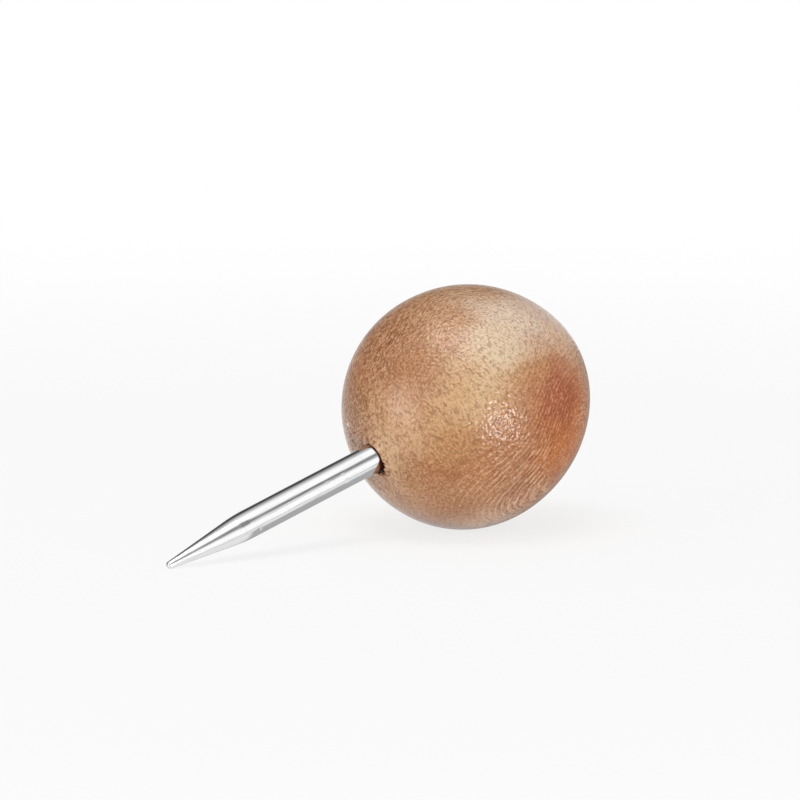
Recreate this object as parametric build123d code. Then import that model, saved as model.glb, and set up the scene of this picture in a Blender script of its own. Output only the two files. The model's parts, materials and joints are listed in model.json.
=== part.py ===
from build123d import *
import os
from math import asin, cos, degrees, radians, sin, sqrt, tan

# A push pin with a turned wooden head, in millimetres, +Z up.
# It lies on a table on its head and its tip, with the tip towards -X.

# Head: a bead with a true half ball on the bore's side and a back drawn out a little, like an egg's
HEAD_DIAMETER = 10.0
BACK_STRETCH = 0.6  # how much further back the plain pole lies than on a ball
BACK_POINT = 0.6  # how much tighter than the ball the plain pole is rounded
MOUTH_BREAK = 0.12  # worn edge round the mouth of the bore
DRILL_ANGLE = 118.0  # point of the drill that left the end of the bore

# Pin: a straight wire with a long ground point
WIRE_DIAMETER = 1.2
PIN_REACH = 11.0  # from the bored pole to the tip
POINT_ANGLE = 13.6  # included
SHOULDER_BLEND = 0.5  # reach of the soft shoulder along the shank and along the flank
TIP_RADIUS = 0.16

# Tang: the buried end of the wire, thinned so that the glue can run down beside it
TANG_LENGTH = 6.5  # from the bored pole
TANG_TAPER = 0.1  # off the wire's radius, at the end
TANG_CHAMFER = 0.1

# Glue: it fills the bore round and under the tang
GLUE_FILM = 0.125  # radial room between the wire and the bore
GLUE_UNDER = 0.5  # below the end of the tang
GLUE_RECESS = 0.9  # from the bored pole down to the glue

# Radii, and heights along the axis from the widest ring, with the tip towards plus
head_radius = HEAD_DIAMETER / 2
wire_radius = WIRE_DIAMETER / 2
tang_radius = wire_radius - TANG_TAPER
bore_radius = wire_radius + GLUE_FILM
tip_end = head_radius + PIN_REACH
tang_end = head_radius - TANG_LENGTH
bore_end = tang_end - GLUE_UNDER
drill_end = bore_end - bore_radius / tan(radians(DRILL_ANGLE / 2))


def turned(outline):
    """A solid turned about Z from a closed half outline of (radius, height)."""
    return revolve(Plane.XZ * make_face(outline), Axis.Z)


def bore_room(*mouth):
    """The drilled room from the drill's point up to the (radius, height) corners of its mouth."""
    corners = [(0, drill_end), (bore_radius, bore_end), *mouth, (0, mouth[-1][1])]
    return turned(Polyline(*corners, close=True))


def wooden_head():
    """Egg of a half ball, a long flank and a tighter back, less the bore and its worn edge."""
    pole = head_radius + BACK_STRETCH
    back_radius = head_radius - BACK_POINT
    flank_radius = pole + BACK_STRETCH**2 / (2 * BACK_POINT)
    back_center = Vector(0, back_radius - pole)
    flank_center = Vector(head_radius - flank_radius, 0)
    outward = (back_center - flank_center).normalized()
    join = back_center + back_radius * outward
    ball = CenterArc((0, 0), head_radius, 0, 90)
    flank = TangentArc((head_radius, 0), join, tangent=(0, -1))
    back = TangentArc(join, (0, -pole), tangent=(outward.Y, -outward.X))
    egg = turned(ball + flank + back + Line((0, -pole), (0, head_radius)))
    edge = sqrt(head_radius**2 - bore_radius**2) - MOUTH_BREAK
    clear = head_radius + MOUTH_BREAK
    return egg - bore_room((bore_radius, edge), (bore_radius + clear - edge, clear))


def steel_pin():
    """Wire with a rounded nose, a straight flank and a soft shoulder, and a thinned tang."""
    slope = radians(POINT_ANGLE / 2)
    nose_edge = TIP_RADIUS * cos(slope)
    nose_height = tip_end - TIP_RADIUS + TIP_RADIUS * sin(slope)
    corner = nose_height - (wire_radius - nose_edge) / tan(slope)
    shank_end = (wire_radius, corner - SHOULDER_BLEND)
    flank_start = (wire_radius - SHOULDER_BLEND * sin(slope), corner + SHOULDER_BLEND * cos(slope))
    flank_end = (nose_edge, nose_height)
    tang = Polyline(
        (0, tang_end),
        (tang_radius - TANG_CHAMFER, tang_end),
        (tang_radius, tang_end + TANG_CHAMFER),
        (wire_radius, head_radius),
    )
    shank = Line((wire_radius, head_radius), shank_end)
    shoulder = TangentArc(shank_end, flank_start, tangent=(0, 1))
    flank = Line(flank_start, flank_end)
    nose = TangentArc(flank_end, (0, tip_end), tangent=(-sin(slope), cos(slope)))
    return turned(tang + shank + shoulder + flank + nose + Line((0, tip_end), (0, tang_end)))


def glue_sleeve():
    """The bore below the glue's surface, less the tang."""
    return bore_room((bore_radius, head_radius - GLUE_RECESS)) - steel_pin()


def lying():
    """Where the pin rests: dipped until the ball and the nose touch the table, over its middle."""
    reach = tip_end - TIP_RADIUS
    dip = asin((head_radius - TIP_RADIUS) / reach)
    tip_side = -reach * cos(dip) - TIP_RADIUS
    head_side = head_radius - BACK_POINT + (BACK_STRETCH + BACK_POINT) * cos(dip)
    return Pos(-(tip_side + head_side) / 2, 0, head_radius) * Rot(0, -90 - degrees(dip), 0)


pieces = {
    "wooden_head": wooden_head(),
    "steel_pin": steel_pin(),
    "glue_sleeve": glue_sleeve(),
}
place = lying()
os.makedirs("parts", exist_ok=True)
for name, piece in pieces.items():
    export_step(place * piece, f"parts/{name}.step")
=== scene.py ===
import json
from math import atan2, cos, exp, pi, radians, sin, sqrt, tan

import bpy
from mathutils import Matrix, Vector, noise


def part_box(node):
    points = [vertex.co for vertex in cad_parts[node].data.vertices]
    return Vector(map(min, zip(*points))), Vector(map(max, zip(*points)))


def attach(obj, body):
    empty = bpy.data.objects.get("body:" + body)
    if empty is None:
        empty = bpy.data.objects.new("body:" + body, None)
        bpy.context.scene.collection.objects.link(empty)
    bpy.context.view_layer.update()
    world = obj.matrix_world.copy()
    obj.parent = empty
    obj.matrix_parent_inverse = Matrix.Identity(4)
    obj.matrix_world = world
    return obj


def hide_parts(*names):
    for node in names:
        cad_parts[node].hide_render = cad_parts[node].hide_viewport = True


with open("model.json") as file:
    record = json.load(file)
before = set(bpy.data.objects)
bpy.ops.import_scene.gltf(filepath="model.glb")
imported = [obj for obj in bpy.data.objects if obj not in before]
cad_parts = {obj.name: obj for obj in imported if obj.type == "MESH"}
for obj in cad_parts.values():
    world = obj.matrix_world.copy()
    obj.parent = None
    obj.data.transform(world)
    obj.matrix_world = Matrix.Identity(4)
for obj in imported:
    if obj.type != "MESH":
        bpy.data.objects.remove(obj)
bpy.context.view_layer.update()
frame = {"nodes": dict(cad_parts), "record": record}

# A push pin with a turned wooden head, lying on a table on its head and its tip.
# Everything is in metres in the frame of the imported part, and MM turns real sizes into metres.
MM = 0.001

# The pin's line and sizes, from the part itself
board_pin = frame["record"]["mounts"][0]
AXIS = Vector(board_pin["axis"]).normalized()  # towards the tip
SIDE = Vector((0, 1, 0))
RISE = SIDE.cross(AXIS)
WIRE_RADIUS = board_pin["dims"]["r_mm"] * MM
SHANK_LENGTH = board_pin["dims"]["length_mm"] * MM
MOUTH = Vector(board_pin["pos_m"]) - AXIS * SHANK_LENGTH / 2
head_low, head_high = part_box("wooden_head")
HEAD_RADIUS = (head_high.y - head_low.y) / 2
HEAD_CENTER = MOUTH - AXIS * HEAD_RADIUS

# Head: a half ball on the bore's side, and a back drawn out a little
BACK_STRETCH = 0.6 * MM
BACK_POINT = 0.6 * MM
HEAD_SIDES = 288
HEAD_RING_STEP = 0.11 * MM
LIP_RINGS = 8  # this many rings next to the mouth give way to closer ones
LIP_RING_STEP = 0.03 * MM
BORE_RING_STEP = 0.4 * MM
HEAD_LUMP = 0.012 * MM  # how far the turned bead is out of true
HEAD_LUMP_SIZE = 2.6 * MM
HEAD_OVAL = 0.05 * MM  # how much further out it stands above and below than to the sides
HEAD_OVAL_POWER = 6  # the higher, the closer to the very top and bottom

# Bore, which runs a hair off the head's middle. Its mouth hugs the pin and is torn on one side.
BORE_RADIUS = 0.725 * MM
BORE_DRIFT = 0.145 * MM  # how far the bore's line passes under the head's middle
BORE_DEPTH = 7.0 * MM
DRILL_ANGLE = radians(118)
MOUTH_BREAK = 0.03 * MM
MOUTH_CLOSE = 0.10 * MM  # how far the fibres at its edge close in on the pin
MOUTH_RISE = 0.05 * MM  # and how far they stand proud
MOUTH_PULL = 0.6 * MM  # how far round the mouth the surface follows its edge
TEAR_DEPTH = 0.5 * MM  # how far down the bore the torn fibres reach

# Pin
POINT_ANGLE = radians(13.6)
SHOULDER_BLEND = 0.5 * MM
TIP_RADIUS = 0.16 * MM
PIN_REACH = 11.0 * MM
TANG_LENGTH = 6.5 * MM
TANG_TAPER = 0.1 * MM
TANG_CHAMFER = 0.1 * MM
PIN_SIDES = 128
PIN_RING_STEP = 0.06 * MM
TANG_RING_STEP = 0.4 * MM
TANG_END_RING_STEP = 0.2 * MM
CHAMFER_RING_STEP = 0.05 * MM
SHOULDER_RINGS = 16
TIP_RINGS = 12
# Unevenness of the wire: (depth, waves round it, waves along a millimetre)
PIN_WAVES = [(0.0025 * MM, 2.2, 0.35), (0.0008 * MM, 7, 1.6)]

# The photograph's view
VIEW_AZIMUTH = radians(-38.2)
VIEW_ELEVATION = radians(9.65)
CAMERA_DISTANCE = 350 * MM
CAMERA_NEAREST = 10 * MM
CAMERA_FURTHEST = 20.0
FRAME_WIDTH = 33.1 * MM  # what the frame takes in at the head
FRAME_PIXELS = 800
SENSOR_WIDTH = 36.0  # in millimetres, as Blender counts it
HEAD_PIXEL = (462.1, 407.8)  # where the head's widest ring is centred

VIEW_RIGHT = Vector((cos(VIEW_AZIMUTH), sin(VIEW_AZIMUTH), 0))
VIEW_BACK = Vector((
    sin(VIEW_AZIMUTH) * cos(VIEW_ELEVATION),
    -cos(VIEW_AZIMUTH) * cos(VIEW_ELEVATION),
    sin(VIEW_ELEVATION),
))
VIEW_UP = VIEW_BACK.cross(VIEW_RIGHT)


def seen(right, up, towards):
    """A direction given as the photograph shows it: to the right, up, and towards the viewer."""
    return VIEW_RIGHT * right + VIEW_UP * up + VIEW_BACK * towards


def on_head(right, up):
    """The point of the near side of the head that lies this far, in head radii, from its middle."""
    return HEAD_CENTER + seen(right, up, sqrt(1 - right**2 - up**2)) * HEAD_RADIUS


def srgb(red, green, blue):
    """A colour as a linear RGBA from its 0 to 255 values."""
    linear = []
    for value in (red, green, blue):
        share = value / 255
        linear.append(share / 12.92 if share <= 0.04045 else ((share + 0.055) / 1.055) ** 2.4)
    return (*linear, 1.0)


class Graph:
    """The nodes of one material or world, with short calls for the usual ones."""

    def __init__(self, owner):
        owner.use_nodes = True
        self.owner = owner
        self.tree = owner.node_tree

    def node(self, kind, inputs, **settings):
        made = self.tree.nodes.new(kind)
        for name, value in settings.items():
            setattr(made, name, value)
        for key, value in inputs.items():
            self.feed(made.inputs[key], value)
        return made

    def feed(self, socket, value):
        if isinstance(value, bpy.types.NodeSocket):
            self.tree.links.new(value, socket)
        else:
            socket.default_value = value

    def math(self, operation, *values):
        return self.node("ShaderNodeMath", dict(enumerate(values)), operation=operation).outputs[0]

    def vector(self, operation, *values):
        made = self.node("ShaderNodeVectorMath", dict(enumerate(values)), operation=operation)
        is_number = operation in ("DOT_PRODUCT", "LENGTH", "DISTANCE")
        return made.outputs["Value" if is_number else "Vector"]

    def scaled(self, vector, factor):
        made = self.node("ShaderNodeVectorMath", {0: vector, "Scale": factor}, operation="SCALE")
        return made.outputs["Vector"]

    def noise(self, vector, scale, detail=2.0, roughness=0.5, w=None):
        """Noise with this many waves in a unit of the vector, which is a millimetre for a place."""
        inputs = {"Vector": vector, "Scale": scale, "Detail": detail, "Roughness": roughness}
        if w is not None:
            inputs["W"] = w
        made = self.node("ShaderNodeTexNoise", inputs, noise_dimensions="3D" if w is None else "4D")
        return made.outputs["Fac"]

    def fade(self, value, start, end, low=0.0, high=1.0):
        """low before start and high after end, with a soft step between them."""
        inputs = {"Value": value, "From Min": start, "From Max": end, "To Min": low, "To Max": high}
        made = self.node("ShaderNodeMapRange", inputs, interpolation_type="SMOOTHSTEP")
        return made.outputs["Result"]

    def mix(self, share, first, second):
        inputs = {"Factor": share, "A": first, "B": second}
        made = self.tree.nodes.new("ShaderNodeMix")
        made.data_type = "RGBA"
        for socket in made.inputs:
            if socket.name in inputs and socket.type in ("RGBA", "VALUE") and socket.enabled:
                self.feed(socket, inputs[socket.name])
        return next(o for o in made.outputs if o.type == "RGBA")

    def bump(self, height, distance):
        inputs = {"Height": height, "Distance": distance, "Strength": 1.0}
        return self.node("ShaderNodeBump", inputs).outputs["Normal"]

    def place(self, origin):
        """The point on the piece in millimetres from origin."""
        coordinates = self.node("ShaderNodeTexCoord", {}).outputs["Object"]
        return self.scaled(self.vector("SUBTRACT", coordinates, origin), 1 / MM)

    def finish(self, **inputs):
        """Feeds the material's shader and gives the material."""
        for name, value in inputs.items():
            self.feed(self.tree.nodes["Principled BSDF"].inputs[name.replace("_", " ")], value)
        return self.owner


def material_graph(name):
    return Graph(bpy.data.materials.new(name))


def turned_mesh(name, rings, sides, shape):
    """A closed turned mesh: shape makes a point of each ring, from end to end, and each turn."""
    points = []
    for ring in rings:
        for i in range(sides):
            points.append(shape(*ring, 2 * pi * i / sides))
    start = len(points)
    points.append(sum(points[:sides], Vector()) / sides)
    points.append(sum(points[start - sides:start], Vector()) / sides)
    faces = []
    for ring in range(len(rings) - 1):
        for i in range(sides):
            a = ring * sides + i
            b = ring * sides + (i + 1) % sides
            faces.append((a, a + sides, b + sides, b))
    last = (len(rings) - 1) * sides
    for i in range(sides):
        following = (i + 1) % sides
        faces.append((start, i, following))
        faces.append((start + 1, last + following, last + i))
    mesh = bpy.data.meshes.new(name)
    mesh.from_pydata(points, [], faces)
    mesh.polygons.foreach_set("use_smooth", [True] * len(faces))
    mesh.update()
    piece = bpy.data.objects.new(name, mesh)
    bpy.context.scene.collection.objects.link(piece)
    return piece


def spread(start, end, step):
    """(radius, height) points from start towards end, end left out, about step apart."""
    count = max(1, round((Vector(end) - Vector(start)).length / step))
    return [tuple(Vector(start).lerp(Vector(end), i / count)) for i in range(count)]


def outward(turn):
    """The direction at this turn from SIDE about the axis."""
    return SIDE * cos(turn) + RISE * sin(turn)


def on_line(height):
    """A point of the bore's and the pin's line, at this height from the widest ring to the tip."""
    tip = HEAD_RADIUS + PIN_REACH - TIP_RADIUS
    return HEAD_CENTER + AXIS * height - RISE * BORE_DRIFT * (1 - height / tip)


def egg(slope):
    """(radius, height) on the head's outline where its surface leans this far from the axis."""
    pole = HEAD_RADIUS + BACK_STRETCH
    back_radius = HEAD_RADIUS - BACK_POINT
    flank_radius = pole + BACK_STRETCH**2 / (2 * BACK_POINT)
    join = atan2(flank_radius - HEAD_RADIUS, back_radius - pole)
    if slope <= pi / 2:
        return HEAD_RADIUS * sin(slope), HEAD_RADIUS * cos(slope)
    if slope <= join:
        return HEAD_RADIUS + flank_radius * (sin(slope) - 1), flank_radius * cos(slope)
    return back_radius * sin(slope), back_radius - pole + back_radius * cos(slope)


def head_rings():
    """(radius, height, follow, skin) from the back pole round to the mouth and down the bore.

    follow is how far a ring keeps to the bore's line rather than the head's, and skin how far it
    keeps to the head's surface rather than the bore's."""
    edge = sqrt(HEAD_RADIUS**2 - BORE_RADIUS**2) - MOUTH_BREAK
    lip = BORE_RADIUS + MOUTH_BREAK
    lip_slope = atan2(lip, sqrt(HEAD_RADIUS**2 - lip**2))
    steps = round((pi - lip_slope) * HEAD_RADIUS / HEAD_RING_STEP)
    outside = [egg(pi - (pi - lip_slope) * i / steps) for i in range(1, steps - LIP_RINGS)]
    outside += spread(outside[-1], egg(lip_slope), LIP_RING_STEP)[1:]
    rings = []
    for radius, height in outside:
        away = (radius - lip) / MOUTH_PULL if height > 0 else 1
        rings.append((radius, height, max(0.0, 1 - away) ** 2, 1.0))
    bore_end = HEAD_RADIUS - BORE_DEPTH
    drill_end = bore_end - BORE_RADIUS / tan(DRILL_ANGLE / 2)
    inside = spread(egg(lip_slope), (BORE_RADIUS, edge), LIP_RING_STEP / 2)
    inside += spread((BORE_RADIUS, edge), (BORE_RADIUS, edge - TEAR_DEPTH), LIP_RING_STEP)
    inside += spread((BORE_RADIUS, edge - TEAR_DEPTH), (BORE_RADIUS, bore_end), BORE_RING_STEP)
    inside += spread((BORE_RADIUS, bore_end), (0, drill_end), BORE_RING_STEP)
    for radius, height in inside:
        rings.append((radius, height, 1.0, min(1.0, max(0.0, 1 - (edge - height) / TEAR_DEPTH))))
    return rings


# Torn fibres of the mouth: (turn from SIDE in degrees, width in degrees, how far they are torn out)
TEARS = [
    (189, 3, 0.20 * MM),
    (200, 3, 0.17 * MM),
    (225, 24, 0.20 * MM),
    (213, 3, -0.09 * MM),
    (225, 3, 0.14 * MM),
    (236, 3, 0.10 * MM),
    (246, 3, -0.07 * MM),
    (256, 4, 0.09 * MM),
]
TEAR_FRAY = 0.012 * MM
TEAR_FRAY_COUNT = 9
# Dents of the head: (right, up, in head radii as the photograph shows them, reach, depth)
DENTS = [
    (-0.885, -0.288, 0.17 * MM, 0.025 * MM),
    (-0.850, -0.298, 0.17 * MM, 0.03 * MM),
    (-0.815, -0.306, 0.17 * MM, 0.04 * MM),
    (-0.770, -0.314, 0.13 * MM, 0.06 * MM),
    (-0.893, -0.20, 0.07 * MM, 0.03 * MM),
    (-0.91, -0.262, 0.07 * MM, 0.03 * MM),
]


def torn(turn):
    """How far the mouth's edge is torn out at this turn."""
    total = TEAR_FRAY * noise.noise(outward(turn) * TEAR_FRAY_COUNT)
    for at, width, depth in TEARS:
        away = (turn - radians(at) + pi) % (2 * pi) - pi
        total += depth * exp(-((away / radians(width)) ** 2))
    return total


def head_point(radius, height, follow, skin, turn):
    """A point of the head, with the bead's lumps and dents and the torn fibres of the mouth."""
    true = HEAD_CENTER + AXIS * height + outward(turn) * radius
    edge = AXIS * MOUTH_RISE + outward(turn) * (torn(turn) - MOUTH_CLOSE)
    bored = on_line(height) + outward(turn) * radius + edge * skin
    point = true.lerp(bored, follow)
    out = (point - HEAD_CENTER).normalized()
    push = HEAD_LUMP * noise.noise(point / HEAD_LUMP_SIZE)
    push += HEAD_OVAL * out.dot(VIEW_UP) ** HEAD_OVAL_POWER
    for right, up, reach, depth in DENTS:
        away = (point - on_head(right, up)).length / reach
        push -= depth * exp(-(away**2))
    return point + out * push * skin


# Broad colours of the wood, the later ones over the earlier, with a few painted shades, a painted
# shadow, painted light and a painted highlight among them, as marked: (right, up, in head radii as
# the photograph shows them, reach in millimetres, colour, strength)
WOOD_PATCHES = [
    (0.98, -0.04, 6.4, (194, 134, 90), 0.8),
    (0.62, -0.46, 3.7, (184, 115, 69), 0.8),
    (0.88, -0.12, 3.4, (208, 118, 49), 1.0),
    (0.77, 0.12, 2.2, (170, 71, 8), 0.8),
    (-0.95, -0.04, 2.3, (170, 122, 88), 0.8),
    (-0.10, -0.72, 2.2, (184, 122, 72), 0.7),
    # partly the wood's pale lower edge, partly painted light from the bright floor below
    (0.22, -0.95, 2.0, (240, 199, 163), 0.9),
    (-0.05, 0.92, 1.7, (214, 172, 138), 0.7),
    # painted shade along the groove by the dents
    (-0.88, -0.34, 1.0, (140, 92, 60), 0.7),
    # painted shadow of the pin on the head
    (-0.76, -0.57, 0.9, (136, 92, 66), 0.7),
    # painted light over the pin's shadow on the wood
    (-0.54, -0.58, 1.3, (224, 176, 132), 0.7),
    (-0.38, -0.52, 1.7, (190, 130, 76), 0.8),
    (0.08, -0.40, 2.6, (199, 132, 80), 0.9),
    (-0.17, -0.50, 1.3, (182, 113, 60), 0.7),
    (-0.12, -0.24, 1.7, (210, 153, 94), 0.7),
    (-0.70, 0.55, 3.2, (182, 120, 82), 0.8),
    (-0.50, -0.08, 2.1, (227, 177, 128), 0.8),
    (-0.60, -0.30, 1.6, (230, 184, 140), 0.8),
    # painted highlight: the soft glint of the left lamp
    (-0.53, 0.02, 1.0, (238, 196, 166), 0.45),
    (-0.42, 0.22, 1.9, (191, 128, 80), 0.7),
    (0.04, 0.09, 2.2, (231, 187, 138), 0.9),
    (0.22, 0.24, 1.8, (236, 197, 150), 0.8),
    (0.56, 0.40, 1.5, (205, 148, 96), 0.7),
    (0.60, 0.76, 2.3, (244, 218, 200), 0.8),
    (0.38, 0.72, 2.4, (245, 221, 197), 0.9),
    (0.27, 0.53, 2.0, (242, 214, 180), 1.0),
    (0.78, 0.54, 1.3, (236, 190, 150), 0.6),
    (0.02, 0.70, 1.0, (216, 168, 126), 0.5),
    # painted shade that tones down the top lamp's sheen
    (-0.10, 0.54, 1.2, (200, 142, 96), 0.6),
    (0.44, -0.12, 1.8, (192, 122, 72), 0.5),
    (0.49, -0.79, 1.3, (216, 158, 112), 0.7),
    (0.06, 0.36, 1.3, (240, 204, 164), 0.4),
    (-0.01, -0.23, 1.1, (203, 141, 84), 0.5),
    (0.51, 0.14, 1.5, (216, 152, 100), 0.4),
]
PATCH_CORE = 0.25  # the share of its reach within which a patch is whole
PATCH_RAGGED = 0.8  # how far in millimetres its edge strays in and out
PLAIN_COLORS = ((210, 160, 119), (198, 143, 102))  # where no patch lies
GRAIN_LIGHT = (244, 206, 168)
CHEEK_GRAIN_LIGHT = (242, 184, 136)
GRAIN_DARK = (112, 64, 42)
PORE_COLOR = (140, 88, 58)
# painted shade in the dents, darkest at their middle
DENT_SHADE_COLOR = (118, 74, 56)
FLECK_COLOR = (250, 244, 240)
# painted shade down the bore, where little light reaches
BORE_SHADE_COLOR = (84, 48, 32)

# The pith, as the photograph would show it: its direction, and a point of its line in head radii
PITH = (0.45, 0.73, 0.51)
PITH_THROUGH = (-0.12, -0.16, 0.35)
# Swirls round hidden knots: (right, up, towards, in head radii, rise of the rings there, width, and
# how much they are drawn out along SWIRL_WAY)
SWIRLS = [
    (0.70, -0.62, 0.30, 1.60, 0.62, 0.45),
    (0.88, 0.04, 0.46, 0.80, 0.46, 0.0),
]
SWIRL_WAY = (0.50, 0.70, -0.50)
# How the rings waver: (waves in a millimetre, detail, reach in millimetres)
RING_WAVER = [(0.3, 1.0, 0.7), (1.6, 2.0, 0.10)]
RING_SPACING = 0.55
# Grains: (count round the pith, along it and across the rings, detail)
COARSE_GRAIN = (7.0, 2.6, 8.0, 1.0)
FINE_GRAIN = (13.5, 4.6, 25.0, 1.4)
STROKES = (-0.67, 0.74, 0.0)  # the way the short dark pores lie, as the photograph shows it
STROKE_STRETCH = 0.7  # 0 is round, and 1 endless
# Noises: (waves in a millimetre, detail, and roughness where it isn't the usual one)
PLAIN_NOISE = (0.42, 2.0)
PATCH_NOISE = (0.9, 2.0)
RING_NOISE = (1.4, 1.0)
STROKE_NOISE = (10.5, 1.0)
SPECK_NOISE = (10.0, 1.0, 0.6)
PIT_NOISE = (7.5, 0.6, 0.4)
GRAIN_ROUGHNESS = 0.6

# Where the wood changes: (right, up, in head radii as the photograph shows them, the distances in
# millimetres between which it fades, the value within, the value beyond)
FINE_AWAY_FROM = (0.66, -0.50, 2.8, 4.8, 0.0, 1.0)  # the rings crowd together here
CLEAR_RINGS = (0.42, -0.66, 1.4, 3.0, 1.0, 0.10)
FAINT_RINGS = (0.66, 0.24, 1.4, 3.0, 0.42, 0.0)
MIDDLE = (-0.08, 0.02, 2.2, 4.6, 1.0, 0.0)  # pale and calm, with most of the pores
EYE = (0.87, -0.40, 0.8, 2.2, 1.0, 0.0)  # the calm ground inside the lower swirl
CHEEK = (0.76, 0.11, 1.0, 2.6, 1.0, 0.0)  # the reddish ground on the right
LOW_CALM = (-0.10, -0.78, 1.2, 2.8, 1.0, 0.0)
LEFT_CALM = (-0.94, 0.08, 1.0, 2.8, 0.65, 0.0)
WHITE_FLECK = (-0.945, -0.14, 0.06, 0.11, 1.0, 0.0)
PITTED_LACQUER = (-0.46, 0.0, 0.8, 2.4, 0.45, 1.0)  # it lies smoother on the left

# How the grain and the specks darken and lighten the wood: (noise from, to, tone from, to)
GRAIN_TONE = (0.38, 0.62, -0.40, 0.36)
SPECK_TONE = (0.34, 0.66, -0.30, 0.28)
RING_TONE = 0.50
CHEEK_TONE = -0.09
# What the other noises and the rings' waves give, in the same way: (from, to, value from, to)
PLAIN_SHARE = (0.35, 0.68, 0.0, 1.0)
RING_SHARE = (0.35, 0.6, 0.5, 1.0)
RING_LIGHT = (0.1, 1.0, -0.15, 1.0)
STROKE_SHARE = (0.54, 0.66, 0.0, 1.0)
LACQUER_ROUGHNESS = (0.3, 0.7, 0.09, 0.15)
# Shares of the grain, the ring lines, the specks and the pores that are left
CALM_GRAIN = 0.25  # where the wood is calm
FAR_GRAIN = 0.6  # on the side that the photograph doesn't show
FAR_FADE = (-2.5, 1.5)  # millimetres towards the viewer, over which that side begins
EYE_RINGS = 0.3
MIDDLE_SPECKS = 0.88
PORE_SHARES = (0.15, 0.5)  # outside the middle, and in it
CHEEK_CALM = 0.4  # how calm the cheek is
PIT_DEPTH = 0.040 * MM
DENT_SHADE_REACH = 1.3  # times the reach of its dent
DENT_SHADE_SHARE = 0.55
BORE_SHADE_DEPTHS = (0.35, 0.12)  # millimetres below the surface, from all dark to none
BORE_SHADE_SHARE = 0.9
SHINE = 0.5  # of clean lacquer and steel


def from_spot(g, place, right, up):
    """How far in millimetres a place of the wood is from this spot of the head."""
    return g.vector("DISTANCE", place, (on_head(right, up) - HEAD_CENTER) / MM)


def around(g, place, spot):
    """The value that one of the spots above gives to a place of the wood."""
    right, up, *fading = spot
    return g.fade(from_spot(g, place, right, up), *fading)


def growth(g, place):
    """How far from its slanting pith the wood grew, and its place round and along the pith."""
    radius = HEAD_RADIUS / MM
    pith = seen(*PITH).normalized()
    beside = g.vector("SUBTRACT", place, seen(*PITH_THROUGH) * radius)
    along = g.vector("DOT_PRODUCT", beside, pith)
    from_pith = g.vector("SUBTRACT", beside, g.scaled(pith, along))
    round_pith = g.vector("NORMALIZE", from_pith)
    ring = g.vector("LENGTH", from_pith)
    way = seen(*SWIRL_WAY).normalized()
    for right, up, towards, rise, width, drawn in SWIRLS:
        away = g.vector("SUBTRACT", place, seen(right, up, towards) * radius)
        lengthwise = g.math("MULTIPLY", g.vector("DOT_PRODUCT", away, way), drawn)
        away = g.vector("LENGTH", g.vector("SUBTRACT", away, g.scaled(way, lengthwise)))
        away = g.math("POWER", g.math("DIVIDE", away, width * radius), 2.0)
        swirl = g.math("EXPONENT", g.math("MULTIPLY", away, -1.0))
        ring = g.math("MULTIPLY_ADD", swirl, rise * radius, ring)
    for scale, detail, reach in RING_WAVER:
        ring = g.math("MULTIPLY_ADD", g.noise(place, scale, detail), reach, ring)
    return ring, round_pith, g.scaled(pith, along)


def wood_ground(g, place):
    """The broad colours of the wood, with ragged edges, and a few painted shades and highlights
    among them.
    """
    broad = g.noise(place, *PLAIN_NOISE)
    ragged = g.noise(place, *PATCH_NOISE)
    ragged = g.math("MULTIPLY_ADD", ragged, 2 * PATCH_RAGGED, -PATCH_RAGGED)
    plain = [srgb(*tint) for tint in PLAIN_COLORS]
    color = g.mix(g.fade(broad, *PLAIN_SHARE), *plain)
    for right, up, reach, tint, strength in WOOD_PATCHES:
        away = g.math("ADD", from_spot(g, place, right, up), ragged)
        share = g.fade(away, reach * PATCH_CORE, reach, strength, 0.0)
        color = g.mix(share, color, srgb(*tint))
    return color


def wood_grain(g, place, ring, round_pith, along_pith):
    """Grains that lie along the rings, drawn coarser where the rings crowd, to stay as wide."""

    def figure(round_count, along_count, ring_count, detail):
        turn = g.scaled(round_pith, round_count)
        spot = g.vector("ADD", turn, g.scaled(along_pith, along_count))
        return g.noise(spot, 1.0, detail, GRAIN_ROUGHNESS, g.math("MULTIPLY", ring, ring_count))

    coarse = figure(*COARSE_GRAIN)
    fine = figure(*FINE_GRAIN)
    share = around(g, place, FINE_AWAY_FROM)
    return g.math("MULTIPLY_ADD", g.math("SUBTRACT", fine, coarse), share, coarse)


def ring_lines(g, place, ring, eye):
    """The light lines of the rings, which show most below and to the right."""
    waves = g.math("SINE", g.math("MULTIPLY", ring, 2 * pi / RING_SPACING))
    patchy = g.fade(g.noise(place, *RING_NOISE), *RING_SHARE)
    clear = g.math("MULTIPLY", around(g, place, CLEAR_RINGS), patchy)
    shown = g.math("MAXIMUM", clear, around(g, place, FAINT_RINGS))
    lines = g.math("MULTIPLY", g.fade(waves, *RING_LIGHT), shown)
    return g.math("MULTIPLY", lines, g.fade(eye, 0.0, 1.0, 1.0, EYE_RINGS))


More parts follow.
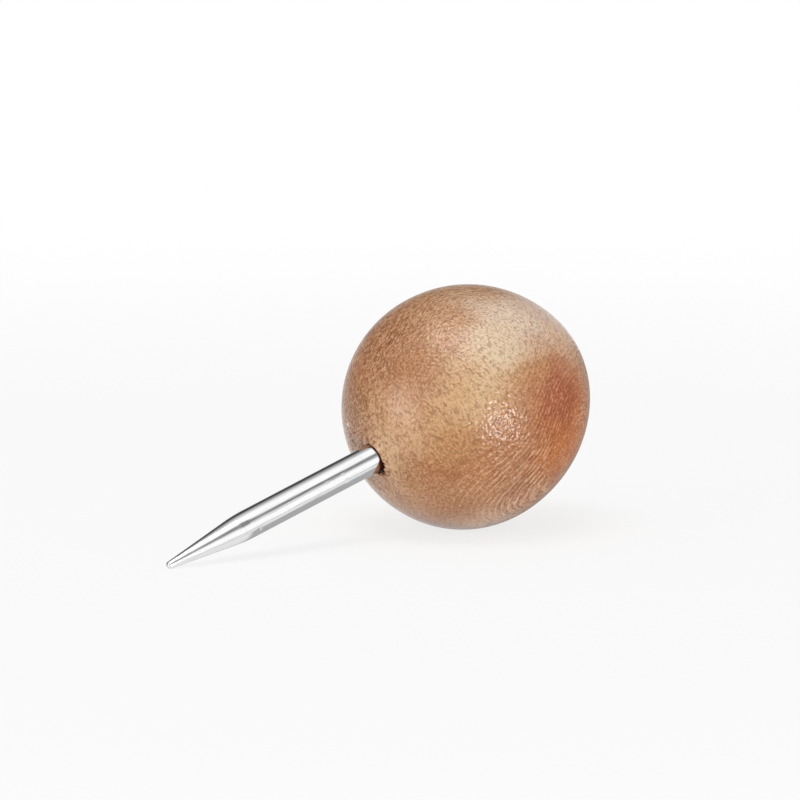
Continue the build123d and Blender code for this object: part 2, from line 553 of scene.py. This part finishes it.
def wood_tone(g, place, speck, middle, cheek):
    """How far grain, specks and rings lighten the wood, or darken it where it is below 0."""
    ring, round_pith, along_pith = growth(g, place)
    grain = wood_grain(g, place, ring, round_pith, along_pith)
    eye = around(g, place, EYE)
    calm = g.math("MAXIMUM", middle, around(g, place, LOW_CALM))
    calm = g.math("MAXIMUM", calm, around(g, place, LEFT_CALM))
    calm = g.math("MAXIMUM", calm, eye)
    calm = g.math("MAXIMUM", calm, g.math("MULTIPLY", cheek, CHEEK_CALM))
    calming = g.fade(calm, 0.0, 1.0, 1.0, CALM_GRAIN)
    tone = g.math("MULTIPLY", g.fade(grain, *GRAIN_TONE), calming)
    near = g.vector("DOT_PRODUCT", place, VIEW_BACK)
    tone = g.math("MULTIPLY", tone, g.fade(near, *FAR_FADE, FAR_GRAIN, 1.0))
    fainter = g.fade(middle, 0.0, 1.0, 1.0, MIDDLE_SPECKS)
    tone = g.math("ADD", tone, g.math("MULTIPLY", g.fade(speck, *SPECK_TONE), fainter))
    tone = g.math("MULTIPLY_ADD", ring_lines(g, place, ring, eye), RING_TONE, tone)
    return g.math("MULTIPLY_ADD", cheek, CHEEK_TONE, tone)


def wood_pores(g, place, middle):
    """Short dark pores, which show most in the middle."""
    slant = seen(*STROKES).normalized()
    lengthwise = g.math("MULTIPLY", g.vector("DOT_PRODUCT", place, slant), STROKE_STRETCH)
    stroke = g.noise(g.vector("SUBTRACT", place, g.scaled(slant, lengthwise)), *STROKE_NOISE)
    shown = g.fade(middle, 0.0, 1.0, *PORE_SHARES)
    return g.math("MULTIPLY", g.fade(stroke, *STROKE_SHARE), shown)


def wood():
    """Lacquered wood: broad warm patches, growth rings, and grains that lie along the rings."""
    g = material_graph("lacquered_wood")
    place = g.place(HEAD_CENTER)
    speck = g.noise(place, *SPECK_NOISE)
    middle = around(g, place, MIDDLE)
    cheek = around(g, place, CHEEK)
    tone = wood_tone(g, place, speck, middle, cheek)
    lighter = g.math("MAXIMUM", tone, 0.0)
    darker = g.math("MAXIMUM", g.math("MULTIPLY", tone, -1.0), 0.0)
    light = g.mix(cheek, srgb(*GRAIN_LIGHT), srgb(*CHEEK_GRAIN_LIGHT))
    color = g.mix(lighter, wood_ground(g, place), light)
    color = g.mix(darker, color, srgb(*GRAIN_DARK))
    color = g.mix(wood_pores(g, place, middle), color, srgb(*PORE_COLOR))

    # Painted shade in the dents, one white fleck, and painted shade down the bore
    for right, up, reach, _ in DENTS:
        away = from_spot(g, place, right, up)
        dent_shade = g.fade(away, 0.0, DENT_SHADE_REACH * reach / MM, DENT_SHADE_SHARE, 0.0)
        color = g.mix(dent_shade, color, srgb(*DENT_SHADE_COLOR))
    color = g.mix(around(g, place, WHITE_FLECK), color, srgb(*FLECK_COLOR))
    # painted shade down the bore: bored is its share, which also takes the shine off there
    deep, shallow = (HEAD_RADIUS / MM - below for below in BORE_SHADE_DEPTHS)
    bored = g.fade(g.vector("LENGTH", place), deep, shallow, BORE_SHADE_SHARE, 0.0)
    color = g.mix(bored, color, srgb(*BORE_SHADE_COLOR))

    pits = g.math("MULTIPLY", g.noise(place, *PIT_NOISE), around(g, place, PITTED_LACQUER))
    return g.finish(
        Base_Color=color,
        Roughness=g.fade(speck, *LACQUER_ROUGHNESS),
        Specular_IOR_Level=g.fade(bored, 0.0, BORE_SHADE_SHARE, SHINE, 0.0),
        Normal=g.bump(pits, PIT_DEPTH),
    )


def pin_rings():
    """The pin's outline from the end of its tang to its tip."""
    slope = POINT_ANGLE / 2
    tip_end = HEAD_RADIUS + PIN_REACH
    nose_edge = TIP_RADIUS * cos(slope)
    nose_height = tip_end - TIP_RADIUS + TIP_RADIUS * sin(slope)
    corner = nose_height - (WIRE_RADIUS - nose_edge) / tan(slope)
    shank_end = corner - SHOULDER_BLEND
    flank_start = (WIRE_RADIUS - SHOULDER_BLEND * sin(slope), corner + SHOULDER_BLEND * cos(slope))
    tang_end = HEAD_RADIUS - TANG_LENGTH
    tang_radius = WIRE_RADIUS - TANG_TAPER
    chamfer_start = (tang_radius - TANG_CHAMFER, tang_end)
    chamfer_end = (tang_radius, tang_end + TANG_CHAMFER)
    rings = spread((0, tang_end), chamfer_start, TANG_END_RING_STEP)[1:]
    rings += spread(chamfer_start, chamfer_end, CHAMFER_RING_STEP)
    rings += spread(chamfer_end, (WIRE_RADIUS, HEAD_RADIUS), TANG_RING_STEP)
    rings += spread((WIRE_RADIUS, HEAD_RADIUS), (WIRE_RADIUS, shank_end), PIN_RING_STEP)
    bend = SHOULDER_BLEND / tan(slope / 2)
    for i in range(SHOULDER_RINGS):
        lean = slope * i / SHOULDER_RINGS
        rings.append((WIRE_RADIUS - bend * (1 - cos(lean)), shank_end + bend * sin(lean)))
    rings += spread(flank_start, (nose_edge, nose_height), PIN_RING_STEP)
    for i in range(TIP_RINGS):
        lean = slope + (pi / 2 - slope) * i / TIP_RINGS
        rings.append((TIP_RADIUS * cos(lean), tip_end - TIP_RADIUS + TIP_RADIUS * sin(lean)))
    return rings


# Nicks of the pin: (distance from the tip, share of the way from its middle line to its upper edge
# as the photograph shows it, reach, depth)
NICKS = [
    (3.72 * MM, 0.14, 0.10 * MM, 0.012 * MM),
    (3.95 * MM, 0.10, 0.08 * MM, 0.009 * MM),
    (4.38 * MM, -0.72, 0.12 * MM, 0.010 * MM),
    (8.20 * MM, -0.03, 0.06 * MM, 0.006 * MM),
    (9.05 * MM, -0.05, 0.07 * MM, 0.007 * MM),
    (9.13 * MM, -0.56, 0.09 * MM, 0.010 * MM),
]


def facing():
    """The directions, square to the pin's line, of the middle and upper edge as photographed."""
    middle = (VIEW_BACK - AXIS * VIEW_BACK.dot(AXIS)).normalized()
    return middle, AXIS.cross(middle)


def pin_point(radius, height, turn):
    """A point of the pin, with the slight waviness of drawn and ground wire, and its nicks."""
    out = outward(turn)
    full = min(1, radius / WIRE_RADIUS)
    wave = 0.0
    for depth, round_count, along_count in PIN_WAVES:
        wave += depth * noise.noise(out * round_count + AXIS * height / MM * along_count)
    point = on_line(height) + out * (radius + wave * full)
    middle, upper = facing()
    for from_tip, share, reach, depth in NICKS:
        nick_height = HEAD_RADIUS + PIN_REACH - from_tip
        across = middle * sqrt(1 - share**2) + upper * share
        away = (point - on_line(nick_height) - across * radius).length / reach
        point -= out * depth * exp(-(away**2))
    return point


# How far out of the head, in millimetres, the pin carries a painted reflection of the wood and
# painted shade from the bore, in place of its own mirror: all round, and further on the upper and
# the lower edge that the photograph shows
RIM_REFLECTION = 0.11
UPPER_REFLECTION = 0.45
LOWER_REFLECTION = 0.36
UPPER_EDGE = (0.62, 0.92)  # shares of the way from the middle line to the upper edge
LOWER_EDGE = (-1.0, -0.40)
# painted reflection: dark for the shaded bore, pale for the wood
REFLECTED_BORE_DARK = (74, 36, 22)
REFLECTED_WOOD_PALE = (156, 120, 98)
REFLECTION_EDGE = 0.09  # millimetres over which the painted reflection ends
REFLECTION_PALING = (-0.04, 0.06)  # from dark to pale, in millimetres past the painted reflection's rim all round
STEEL_COLORS = ((255, 255, 255), (248, 248, 249))
STEEL_DULL = (222, 220, 218)
# Marks of the steel: how many round it and along a millimetre, and their depth
STEEL_MARKS_ROUND = 9.0
STEEL_MARKS_ALONG = 0.5
STEEL_MARK_DEPTH = 0.005 * MM
# Noises and what they give, as for the wood
MARK_NOISE = (1.0, 2.0, 0.6)
DULL_NOISE = (2.6, 3.0, 0.6)
MARK_SHARE = (0.35, 0.7, 0.0, 1.0)
DULL_SHARE = (0.55, 0.8, 0.0, 0.4)
STEEL_ROUGHNESS = (0.3, 0.75, 0.05, 0.11)


def steel():
    """Bright plated steel with the fine lengthwise marks of drawing and grinding.

    Where it comes out of the head it carries a painted reflection of the brown wood and painted
    shade from the bore."""
    g = material_graph("plated_steel")
    place = g.place(HEAD_CENTER)
    rim = HEAD_RADIUS / MM + RIM_REFLECTION
    along = g.vector("DOT_PRODUCT", place, AXIS)
    round_wire = g.vector("NORMALIZE", g.vector("SUBTRACT", place, g.scaled(AXIS, along)))
    lengthwise = g.scaled(AXIS, g.math("MULTIPLY", along, STEEL_MARKS_ALONG))
    crosswise = g.scaled(round_wire, STEEL_MARKS_ROUND)
    marks = g.noise(g.vector("ADD", crosswise, lengthwise), *MARK_NOISE)
    dull = g.noise(place, *DULL_NOISE)
    plain = [srgb(*tint) for tint in STEEL_COLORS]
    color = g.mix(g.fade(marks, *MARK_SHARE), *plain)
    color = g.mix(g.fade(dull, *DULL_SHARE), color, srgb(*STEEL_DULL))
    upper_share = g.vector("DOT_PRODUCT", round_wire, facing()[1])
    upper_edge = g.fade(upper_share, *UPPER_EDGE)
    lower_edge = g.fade(upper_share, *LOWER_EDGE, 1.0, 0.0)
    reach = g.math("MULTIPLY_ADD", upper_edge, UPPER_REFLECTION, rim)
    reach = g.math("MULTIPLY_ADD", lower_edge, LOWER_REFLECTION, reach)
    # painted reflection of the head and painted shade from its bore, which the pin doesn't mirror
    head_reflection = g.fade(g.math("SUBTRACT", along, reach), -REFLECTION_EDGE, 0.0, 1.0, 0.0)
    paling = [rim + past for past in REFLECTION_PALING]
    pale = g.math("MAXIMUM", g.fade(along, *paling), upper_edge)
    color = g.mix(head_reflection, color, g.mix(pale, srgb(*REFLECTED_BORE_DARK), srgb(*REFLECTED_WOOD_PALE)))
    return g.finish(
        Base_Color=color,
        Metallic=g.fade(head_reflection, 0.0, 1.0, 1.0, 0.0),
        Specular_IOR_Level=g.fade(head_reflection, 0.0, 1.0, SHINE, 0.0),
        Roughness=g.fade(dull, *STEEL_ROUGHNESS),
        Normal=g.bump(marks, STEEL_MARK_DEPTH),
    )


GLUE_COLORS = ((214, 186, 132), (176, 138, 84))
GLUE_NOISE = (3.0, 3.0)
GLUE_ROUGHNESS = (0.3, 0.7, 0.12, 0.3)
GLUE_SHINE = 0.05  # low, because mirrors don't show the head that shades it
GLUE_CLOUD_DEPTH = 0.02 * MM


def glue():
    """Cured amber glue, a little cloudy."""
    g = material_graph("cured_glue")
    cloud = g.noise(g.place(HEAD_CENTER), *GLUE_NOISE)
    ambers = [srgb(*tint) for tint in GLUE_COLORS]
    return g.finish(
        Base_Color=g.mix(cloud, *ambers),
        Roughness=g.fade(cloud, *GLUE_ROUGHNESS),
        Specular_IOR_Level=GLUE_SHINE,
        Normal=g.bump(cloud, GLUE_CLOUD_DEPTH),
    )


def dress(piece, material, node):
    """Gives a piece its material, and sets it in the frame in place of its node."""
    piece.data.materials.append(material)
    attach(piece, "root")
    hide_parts(node)


FLOOR_SIZE = 8.0
SHADOW_REACH = 30 * MM  # the floor keeps its shadow within this of the object's middle
WHITE_REACH = 90 * MM  # and is plain white beyond this
SHADOW_WHITE = 0.78  # the share of plain white over the shadow, which leaves it faint
FLOOR_COLOR = (250, 250, 250)
FLOOR_ROUGHNESS = 0.8


def add_floor():
    """A white table top that keeps the object's soft shadow."""
    mesh = bpy.data.meshes.new("floor")
    half = FLOOR_SIZE / 2
    corners = [(-half, -half, 0), (half, -half, 0), (half, half, 0), (-half, half, 0)]
    mesh.from_pydata(corners, [], [(0, 1, 2, 3)])
    floor = bpy.data.objects.new("floor", mesh)
    bpy.context.scene.collection.objects.link(floor)
    g = material_graph("white_table")
    away = g.vector("LENGTH", g.node("ShaderNodeTexCoord", {}).outputs["Object"])
    path = g.node("ShaderNodeLightPath", {}).outputs
    plain = g.math("MAXIMUM", path["Is Camera Ray"], path["Is Transmission Ray"])
    share = g.math("MULTIPLY", plain, g.fade(away, SHADOW_REACH, WHITE_REACH, SHADOW_WHITE, 1.0))
    g.finish(Base_Color=srgb(*FLOOR_COLOR), Roughness=FLOOR_ROUGHNESS)
    glow = g.node("ShaderNodeEmission", {"Strength": 1.0})
    both = g.node("ShaderNodeMixShader", {0: share})
    g.feed(both.inputs[1], g.tree.nodes["Principled BSDF"].outputs[0])
    g.feed(both.inputs[2], glow.outputs[0])
    g.feed(g.tree.nodes["Material Output"].inputs["Surface"], both.outputs[0])
    mesh.materials.append(g.owner)
    floor.visible_glossy = False


AMBIENT = 0.55  # how far the room itself lights surfaces
# What mirrors show of the room: (degrees round the pin's line from the viewer upwards, brightness).
# It is white, with a dark slot beside the viewer, a dark wall behind, and a grey band low down.
ROOM_BANDS = [
    (-180, 0.78),
    (-64, 0.78),
    (-56, 0.58),
    (-49, 1.0),
    (-14, 1.0),
    (2, 0.44),
    (14, 0.14),
    (22, 0.44),
    (33, 1.0),
    (66, 1.0),
    (90, 0.55),
    (120, 0.06),
    (150, 0.06),
    (180, 1.0),
]
LOW_BAND = (radians(-84), radians(-72))
LOW_BAND_ENDS = (-0.48, -0.42)  # along the pin's line
LOW_BAND_SHADE = (0.40, 0.40, 0.40, 1)


def add_world():
    """An even white room, dimmer as a light than it looks, that mirrors show with its bands."""
    world = bpy.data.worlds.new("studio")
    bpy.context.scene.world = world
    g = Graph(world)
    middle, upper = facing()
    direction = g.node("ShaderNodeTexCoord", {}).outputs["Generated"]
    above = g.vector("DOT_PRODUCT", direction, upper)
    turn = g.math("ARCTAN2", above, g.vector("DOT_PRODUCT", direction, middle))
    bands = g.node("ShaderNodeValToRGB", {0: g.math("MULTIPLY_ADD", turn, 0.5 / pi, 0.5)})
    stops = bands.color_ramp.elements  # it comes with a stop at each end
    for degrees, _ in ROOM_BANDS[1:-1]:
        stops.new(0.5 + degrees / 360)
    for stop, (_, bright) in zip(stops, ROOM_BANDS):
        stop.color = (bright, bright, bright, 1)
    low = g.math(
        "MULTIPLY",
        g.fade(turn, *LOW_BAND, 1.0, 0.0),
        g.fade(g.vector("DOT_PRODUCT", direction, AXIS), *LOW_BAND_ENDS, 1.0, 0.0),
    )
    path = g.node("ShaderNodeLightPath", {}).outputs
    mirrored = path["Is Glossy Ray"]
    color = g.mix(mirrored, (1, 1, 1, 1), g.mix(low, bands.outputs["Color"], LOW_BAND_SHADE))
    plain = g.math("MAXIMUM", path["Is Camera Ray"], path["Is Transmission Ray"])
    strength = g.fade(g.math("MAXIMUM", plain, mirrored), 0.0, 1.0, AMBIENT, 1.0)
    g.feed(g.tree.nodes["Background"].inputs["Color"], color)
    g.feed(g.tree.nodes["Background"].inputs["Strength"], strength)


LAMP_DISTANCE = 300 * MM
# Lamps: (name, direction as the photograph shows it, width, height, level, whether it lights
# surfaces, whether mirrors show it). On the right a lamp gives the light, and a window the glint.
LAMPS = [
    ("top_lamp", (-0.10, 0.93, 0.35), 160 * MM, 130 * MM, 0.28, True, True),
    ("right_lamp", (0.675, -0.16, 0.72), 85 * MM, 85 * MM, 0.36, True, False),
    ("right_window", (0.62, -0.26, 0.74), 118 * MM, 102 * MM, 0.46, False, True),
    ("left_lamp", (-0.86, 0.04, 0.51), 200 * MM, 180 * MM, 0.18, True, True),
]


def add_lamp(name, direction, width, height, level):
    """A soft lamp that lights a surface facing it to about this level."""
    direction = direction.normalized()
    light = bpy.data.lights.new(name, "AREA")
    light.shape = "RECTANGLE"
    light.size = width
    light.size_y = height
    light.energy = level * pi**2 * LAMP_DISTANCE**2
    lamp = bpy.data.objects.new(name, light)
    lamp.location = HEAD_CENTER + direction * LAMP_DISTANCE
    lamp.rotation_mode = "QUATERNION"
    lamp.rotation_quaternion = direction.to_track_quat("Z", "Y")
    bpy.context.scene.collection.objects.link(lamp)
    return lamp


def add_lights():
    """The room and the lamps."""
    add_world()
    for name, direction, width, height, level, lights, shows in LAMPS:
        lamp = add_lamp(name, seen(*direction), width, height, level)
        lamp.visible_diffuse = lights
        lamp.visible_glossy = shows


def add_camera():
    """The photograph's camera, moved aside so that the head falls where it does in the frame."""
    data = bpy.data.cameras.new("camera")
    data.sensor_width = SENSOR_WIDTH
    data.lens = SENSOR_WIDTH * CAMERA_DISTANCE / FRAME_WIDTH
    data.clip_start = CAMERA_NEAREST
    data.clip_end = CAMERA_FURTHEST
    camera = bpy.data.objects.new("camera", data)
    pixel = FRAME_WIDTH / FRAME_PIXELS
    aside = (HEAD_PIXEL[0] - FRAME_PIXELS / 2) * pixel
    above = (FRAME_PIXELS / 2 - HEAD_PIXEL[1]) * pixel
    target = HEAD_CENTER - VIEW_RIGHT * aside - VIEW_UP * above
    place = Matrix((VIEW_RIGHT, VIEW_UP, VIEW_BACK)).transposed().to_4x4()
    place.translation = target + VIEW_BACK * CAMERA_DISTANCE
    camera.matrix_world = place
    bpy.context.scene.collection.objects.link(camera)
    bpy.context.scene.camera = camera


head = turned_mesh("head", head_rings(), HEAD_SIDES, head_point)
dress(head, wood(), "wooden_head")
head.visible_glossy = False  # the pin shows the room right up to the mouth, as in the photograph, and the head's reflection is painted onto the steel instead
pin = turned_mesh("pin", pin_rings(), PIN_SIDES, pin_point)
dress(pin, steel(), "steel_pin")
glue_node = frame["nodes"]["glue_sleeve"]
glue_node.data.materials.clear()
glue_node.data.materials.append(glue())
add_floor()
add_lights()
add_camera()
bpy.context.scene.view_settings.view_transform = "Standard"
